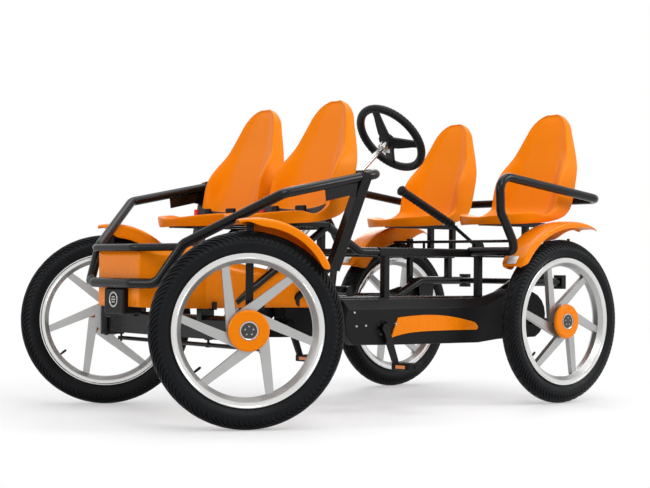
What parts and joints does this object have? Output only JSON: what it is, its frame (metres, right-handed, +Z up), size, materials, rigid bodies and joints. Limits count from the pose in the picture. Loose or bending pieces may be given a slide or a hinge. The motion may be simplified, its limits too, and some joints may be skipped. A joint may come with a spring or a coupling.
{
  "type": "four-seat pedal go-kart",
  "caption": "Pedal go-kart with two rows of bucket seats on a tube frame, steered front axle, free-turning spoked wheels, cranks and pedals.",
  "frame": {"origin": "on the ground under the middle of the kart, on its centre plane", "axes": "+X forward, +Y to the kart's left, +Z up"},
  "size_m": [2.0137, 1.2864, 1.0921],
  "materials": {
    "black_frame": "gloss black powder coat",
    "black_plastic": "black moulded plastic",
    "bright_steel": "zinc plated steel",
    "cast_alloy": "silver painted cast alloy",
    "orange_paint": "glossy orange plastic",
    "orange_plastic": "orange moulded plastic, light grain",
    "tyre": "black rubber, moulded tread",
    "webbing": "black polyester webbing"
  },
  "bodies": {
    "chassis": {"bottom_brackets": "black_frame", "chain_guard_trims": "orange_paint", "chain_guards": "black_plastic", "column_supports": "black_frame", "cross_tubes": "black_frame", "frame_posts": "black_frame", "front_axle_beam": "black_frame", "front_braces": "black_frame", "front_fairing": "orange_paint", "front_guard": "black_frame", "front_uprights": "black_frame", "guard_crossbar": "black_frame", "hand_brake": "black_plastic", "lap_belts": "webbing", "lower_rails": "black_frame", "nose_block": "black_plastic", "rear_axle_hangers": "black_frame", "rear_fender_stays": "black_frame", "rear_fenders": "orange_paint", "rear_hoop": "black_frame", "seat_carriers": "black_frame", "seat_front_left": "orange_plastic", "seat_front_right": "orange_plastic", "seat_rear_left": "orange_plastic", "seat_rear_right": "orange_plastic", "upper_rails": "black_frame"},
    "knuckle_left": {"knuckle_left": "black_frame", "front_fender_left": "orange_paint"},
    "knuckle_right": {"knuckle_right": "black_frame", "front_fender_right": "orange_paint"},
    "steering": {"steering_column": "bright_steel", "steering_wheel": "black_plastic"},
    "track_rod": {"track_rod": "black_frame"},
    "drag_link": {"drag_link": "black_frame"},
    "cranks_left": {"crankset_left": "black_frame"},
    "cranks_right": {"crankset_right": "black_frame"},
    "wheel_front_left": {"tyre_front_left": "tyre", "rim_front_left": "cast_alloy", "hub_cap_front_left": "orange_paint"},
    "wheel_front_right": {"tyre_front_right": "tyre", "rim_front_right": "cast_alloy", "hub_cap_front_right": "orange_paint"},
    "wheel_rear_left": {"tyre_rear_left": "tyre", "rim_rear_left": "cast_alloy", "hub_cap_rear_left": "orange_paint", "rear_axle": "bright_steel"},
    "wheel_rear_right": {"tyre_rear_right": "tyre", "rim_rear_right": "cast_alloy", "hub_cap_rear_right": "orange_paint"},
    "pedal_left_outer": {"pedal_left_outer": "black_plastic"},
    "pedal_left_inner": {"pedal_left_inner": "black_plastic"},
    "pedal_right_outer": {"pedal_right_outer": "black_plastic"},
    "pedal_right_inner": {"pedal_right_inner": "black_plastic"}
  },
  "joints": [
    {"name": "steer_left", "type": "hinge", "parent": "chassis", "child": "knuckle_left", "pos_m": [0.696, 0.405, 0.3], "axis": [0, 0, 1], "range_deg": [0, 58.8]},
    {"name": "steer_right", "type": "hinge", "parent": "chassis", "child": "knuckle_right", "pos_m": [0.696, -0.405, 0.3], "axis": [0, 0, 1], "range_deg": [0, 58.8]},
    {"name": "spin_front_left", "type": "hinge", "parent": "knuckle_left", "child": "wheel_front_left", "pos_m": [0.73356, 0.47564, 0.3], "axis": [0.4695, 0.8829, 0], "continuous": true},
    {"name": "spin_front_right", "type": "hinge", "parent": "knuckle_right", "child": "wheel_front_right", "pos_m": [0.65504, -0.47372, 0.3], "axis": [0.512, 0.859, 0], "continuous": true},
    {"name": "spin_rear_left", "type": "hinge", "parent": "chassis", "child": "wheel_rear_left", "pos_m": [-0.712, 0.456, 0.3], "axis": [0, 1, 0], "continuous": true},
    {"name": "spin_rear_right", "type": "hinge", "parent": "chassis", "child": "wheel_rear_right", "pos_m": [-0.712, -0.456, 0.3], "axis": [0, 1, 0], "continuous": true},
    {"name": "track_rod_swing", "type": "hinge", "parent": "knuckle_left", "child": "track_rod", "pos_m": [0.6507, 0.43053, 0.238], "axis": [0, 0, 1], "range_deg": [-58.8, 0]},
    {"name": "steering_turn", "type": "hinge", "parent": "chassis", "child": "steering", "pos_m": [0.487, 0, 0.30394], "axis": [0.7513, 0, -0.66], "range_deg": [-58.8, 0]},
    {"name": "drag_link_swing", "type": "hinge", "parent": "steering", "child": "drag_link", "pos_m": [0.46836, 0.02553, 0.26], "axis": [0.7513, 0, -0.66], "range_deg": [0, 58.8]},
    {"name": "crank_left", "type": "hinge", "parent": "chassis", "child": "cranks_left", "pos_m": [0.041, 0.263, 0.285], "axis": [0, 1, 0], "continuous": true},
    {"name": "crank_right", "type": "hinge", "parent": "chassis", "child": "cranks_right", "pos_m": [0.041, -0.263, 0.285], "axis": [0, 1, 0], "continuous": true},
    {"name": "pedal_left_outer_turn", "type": "hinge", "parent": "cranks_left", "child": "pedal_left_outer", "pos_m": [-0.01145, 0.3836, 0.15519], "axis": [0, 1, 0], "continuous": true},
    {"name": "pedal_left_inner_turn", "type": "hinge", "parent": "cranks_left", "child": "pedal_left_inner", "pos_m": [0.09345, 0.1427, 0.41481], "axis": [0, 1, 0], "continuous": true},
    {"name": "pedal_right_outer_turn", "type": "hinge", "parent": "cranks_right", "child": "pedal_right_outer", "pos_m": [0.09345, -0.3836, 0.41481], "axis": [0, 1, 0], "continuous": true},
    {"name": "pedal_right_inner_turn", "type": "hinge", "parent": "cranks_right", "child": "pedal_right_inner", "pos_m": [-0.01145, -0.1427, 0.15519], "axis": [0, 1, 0], "continuous": true}
  ],
  "couplings": [
    {"joint": "steer_right", "follows": "steer_left", "ratio": 1},
    {"joint": "track_rod_swing", "follows": "steer_left", "ratio": -1},
    {"joint": "steering_turn", "follows": "steer_left", "ratio": -1},
    {"joint": "drag_link_swing", "follows": "steer_left", "ratio": 1}
  ]
}
